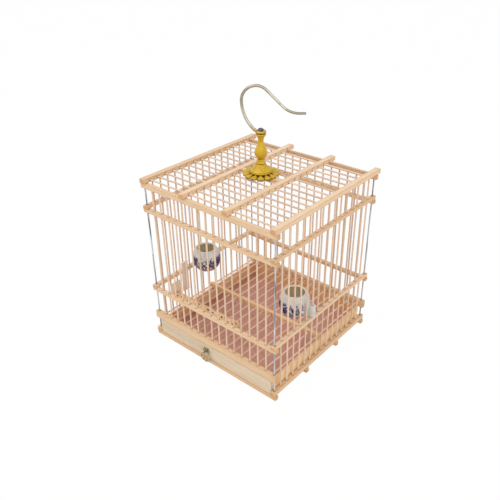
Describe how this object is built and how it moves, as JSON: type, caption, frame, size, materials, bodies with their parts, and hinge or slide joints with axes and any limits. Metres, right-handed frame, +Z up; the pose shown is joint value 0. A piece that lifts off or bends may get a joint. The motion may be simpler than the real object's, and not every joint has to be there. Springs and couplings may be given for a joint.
{
  "type": "bird cage",
  "caption": "Square bamboo bird cage with rod walls, a hook on a turned stand, a pull-out tray drawer, feed cups and a perch",
  "frame": {"origin": "middle of the cage on the surface that it stands on", "axes": "+Z up, -Y towards the drawer face, +X to the right seen from the drawer"},
  "size_m": [0.215, 0.2178, 0.3505],
  "materials": {
    "bamboo_rail": "satin",
    "bamboo_rod": "satin",
    "corner_steel": "drawn wire",
    "drawer_face_wood": "varnished",
    "drawer_board_wood": "bare",
    "tray_board": "painted matt",
    "pull_brass": "aged",
    "gold_casting": "gilt satin",
    "fastener_steel": "dull",
    "hook_metal": "worn plated",
    "porcelain": "glazed",
    "perch_wood": "natural, pitted"
  },
  "bodies": {
    "cage_frame": {"bottom_front_bar": "bamboo_rail", "bottom_back_bar": "bamboo_rail", "bottom_inner_front_bar": "bamboo_rail", "bottom_inner_back_bar": "bamboo_rail", "bottom_left_rail": "bamboo_rail", "bottom_right_rail": "bamboo_rail", "low_front_rail": "bamboo_rail", "low_back_rail": "bamboo_rail", "mid_front_rail": "bamboo_rail", "mid_back_rail": "bamboo_rail", "mid_left_rail": "bamboo_rail", "mid_right_rail": "bamboo_rail", "upper_front_rail": "bamboo_rail", "upper_back_rail": "bamboo_rail", "upper_left_rail": "bamboo_rail", "upper_right_rail": "bamboo_rail", "top_front_rail": "bamboo_rail", "top_back_rail": "bamboo_rail", "top_left_bar": "bamboo_rail", "top_inner_left_bar": "bamboo_rail", "top_inner_right_bar": "bamboo_rail", "top_right_bar": "bamboo_rail", "top_centre_bar": "bamboo_rail", "floor_centre_bar": "bamboo_rail", "wall_slat": "bamboo_rail", "front_wall_rods": "bamboo_rod", "back_wall_rods": "bamboo_rod", "left_wall_front_rods": "bamboo_rod", "left_wall_back_rods": "bamboo_rod", "right_wall_rods": "bamboo_rod", "top_rods": "bamboo_rod", "floor_rods": "bamboo_rod", "front_left_wire": "corner_steel", "front_right_wire": "corner_steel", "back_left_wire": "corner_steel", "back_right_wire": "corner_steel", "perch_plate": "drawer_face_wood", "hook_flange": "gold_casting", "hook_baluster": "gold_casting", "hook_bolt": "fastener_steel", "hook_washer": "fastener_steel", "hook_nut": "fastener_steel", "perch_screw": "fastener_steel", "perch_washer": "fastener_steel", "perch": "perch_wood"},
    "drawer": {"drawer_front": "drawer_face_wood", "drawer_left_side": "drawer_board_wood", "drawer_right_side": "drawer_board_wood", "drawer_back": "drawer_board_wood", "drawer_bottom": "tray_board", "pull_plate": "pull_brass", "pull_eye": "pull_brass"},
    "drawer_ring": {"pull_ring": "pull_brass"},
    "hanging_hook": {"hook_wire": "hook_metal"},
    "lift_door": {"door_rods": "bamboo_rod", "door_foot_bar": "bamboo_rail"},
    "left_feed_cup": {"left_cup": "porcelain"},
    "right_feed_cup": {"right_cup": "porcelain"}
  },
  "joints": [
    {"name": "drawer_slide", "type": "slide", "parent": "cage_frame", "child": "drawer", "axis": [0, -1, 0], "range_m": [0, 0.16]},
    {"name": "ring_swing", "type": "hinge", "parent": "drawer", "child": "drawer_ring", "pos_m": [-0.01, -0.1065, 0.018], "axis": [-1, 0, 0], "range_deg": [0, 120]},
    {"name": "hook_swivel", "type": "hinge", "parent": "cage_frame", "child": "hanging_hook", "pos_m": [0, 0, 0.2942], "axis": [0, 0, 1], "continuous": true},
    {"name": "door_lift", "type": "slide", "parent": "cage_frame", "child": "lift_door", "axis": [0, 0, 1], "range_m": [0, 0.06]},
    {"name": "left_cup_lift", "type": "slide", "parent": "cage_frame", "child": "left_feed_cup", "axis": [0, 0, 1], "range_m": [0, 0.04]},
    {"name": "right_cup_lift", "type": "slide", "parent": "cage_frame", "child": "right_feed_cup", "axis": [0, 0, 1], "range_m": [0, 0.04]}
  ]
}
